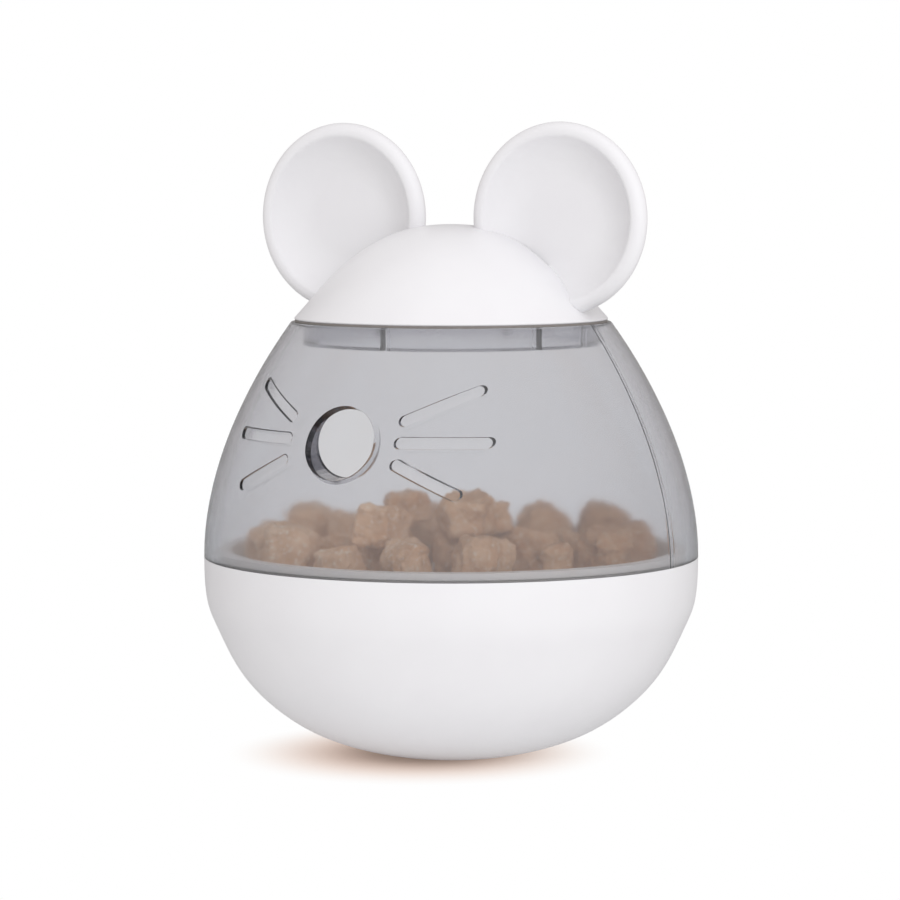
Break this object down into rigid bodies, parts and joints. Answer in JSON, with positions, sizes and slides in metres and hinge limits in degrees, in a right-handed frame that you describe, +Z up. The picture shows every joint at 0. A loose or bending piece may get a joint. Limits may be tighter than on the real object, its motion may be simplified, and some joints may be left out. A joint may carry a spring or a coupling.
{
  "type": "treat dispenser",
  "caption": "Roly-poly pet treat dispenser: weighted white bowl, smoke-tinted chamber with nose hole and whisker grooves, and a pull-off dome lid with round dished ears.",
  "frame": {"origin": "middle of the flat foot under the bowl", "axes": "+Z up through the crown of the lid, nose hole towards -Y, ears along X"},
  "size_m": [0.092, 0.092, 0.1176],
  "materials": {
    "white_plastic": "satin injection-moulded white plastic",
    "smoke_plastic": "translucent smoke-grey moulded plastic, slightly hazy",
    "seal_rubber": "soft matt grey seal",
    "ballast_iron": "plain cast iron",
    "screw_steel": "bright zinc-plated steel",
    "treat_crumb": "baked crumbly treat"
  },
  "bodies": {
    "base": {"base_bowl": "white_plastic", "ballast_weight": "ballast_iron", "ballast_screw": "screw_steel", "floor_tray": "white_plastic", "tray_screws": "screw_steel", "chamber_shell": "smoke_plastic", "treat_01": "treat_crumb", "treat_02": "treat_crumb", "treat_03": "treat_crumb", "treat_04": "treat_crumb", "treat_05": "treat_crumb", "treat_06": "treat_crumb", "treat_07": "treat_crumb", "treat_08": "treat_crumb", "treat_09": "treat_crumb", "treat_10": "treat_crumb", "treat_11": "treat_crumb", "treat_12": "treat_crumb", "treat_13": "treat_crumb", "treat_14": "treat_crumb", "treat_15": "treat_crumb", "treat_16": "treat_crumb", "treat_17": "treat_crumb", "treat_18": "treat_crumb", "treat_19": "treat_crumb", "treat_20": "treat_crumb", "treat_21": "treat_crumb", "treat_22": "treat_crumb", "treat_23": "treat_crumb", "treat_24": "treat_crumb", "treat_25": "treat_crumb", "treat_26": "treat_crumb", "treat_27": "treat_crumb", "treat_28": "treat_crumb", "treat_29": "treat_crumb", "treat_30": "treat_crumb", "treat_31": "treat_crumb", "treat_32": "treat_crumb"},
    "seal": {"lid_seal": "seal_rubber"},
    "lid": {"lid_skirt": "smoke_plastic", "lid_dome": "white_plastic", "left_ear": "white_plastic", "right_ear": "white_plastic"}
  },
  "joints": [
    {"name": "lid_lift", "type": "slide", "parent": "base", "child": "seal", "axis": [0, 0, 1], "range_m": [0, 0.06]},
    {"name": "lid_turn", "type": "hinge", "parent": "seal", "child": "lid", "pos_m": [0, 0, 0.0812], "axis": [0, 0, 1], "continuous": true}
  ]
}
